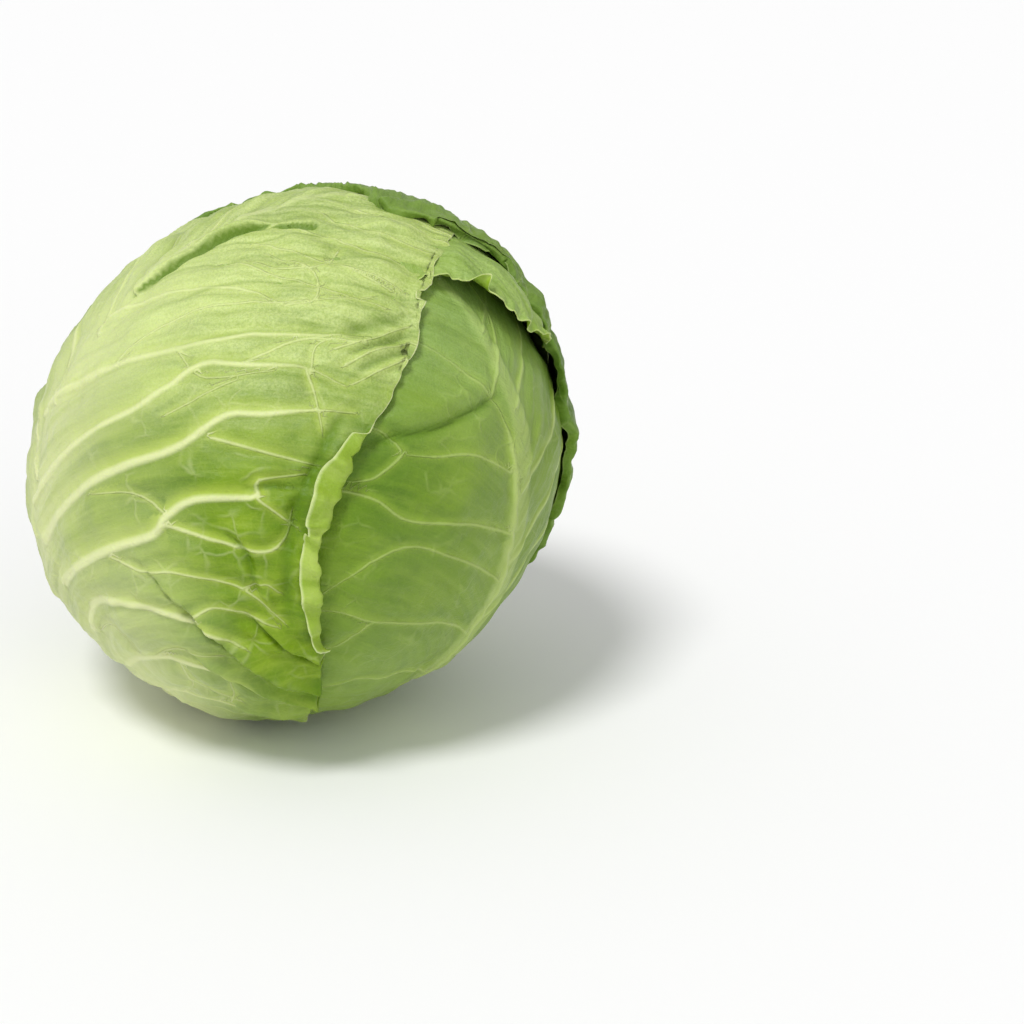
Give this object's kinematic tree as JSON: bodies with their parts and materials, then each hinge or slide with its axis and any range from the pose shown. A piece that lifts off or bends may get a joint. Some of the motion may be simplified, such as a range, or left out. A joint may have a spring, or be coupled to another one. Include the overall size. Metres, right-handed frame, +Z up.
{
  "type": "cabbage head",
  "caption": "Round head of green cabbage standing on its cut stem: veined outer leaves folded over the crown, nested inner leaves and a tight heart inside.",
  "frame": {"origin": "middle of the cut end of the stem, which the head stands on", "axes": "+Z up along the stem to the crown, -Y towards the front of the head, where the big front leaf overlaps the next one"},
  "size_m": [0.1739, 0.1732, 0.1684],
  "materials": {
    "dark_leaf": "waxy green leaf with pale veins",
    "outer_leaf": "waxy pale green leaf with cream veins",
    "inner_leaf": "pale yellow-white leaf",
    "heart": "crinkled yellow bud",
    "stem": "cut fibrous stem, off-white"
  },
  "bodies": {
    "root": {"back_dark_leaf": "dark_leaf", "left_front_leaf": "outer_leaf", "crown_leaf": "outer_leaf", "right_front_leaf": "outer_leaf", "left_back_leaf": "outer_leaf", "right_back_leaf": "outer_leaf", "inner_leaf_01": "inner_leaf", "inner_leaf_02": "inner_leaf", "inner_leaf_03": "inner_leaf", "inner_leaf_04": "inner_leaf", "inner_leaf_05": "inner_leaf", "inner_leaf_06": "inner_leaf", "inner_leaf_07": "inner_leaf", "inner_leaf_08": "inner_leaf", "inner_leaf_09": "inner_leaf", "inner_leaf_10": "inner_leaf", "inner_leaf_11": "inner_leaf", "inner_leaf_12": "inner_leaf", "heart_bud": "heart", "stem_core": "stem"}
  },
  "joints": []
}
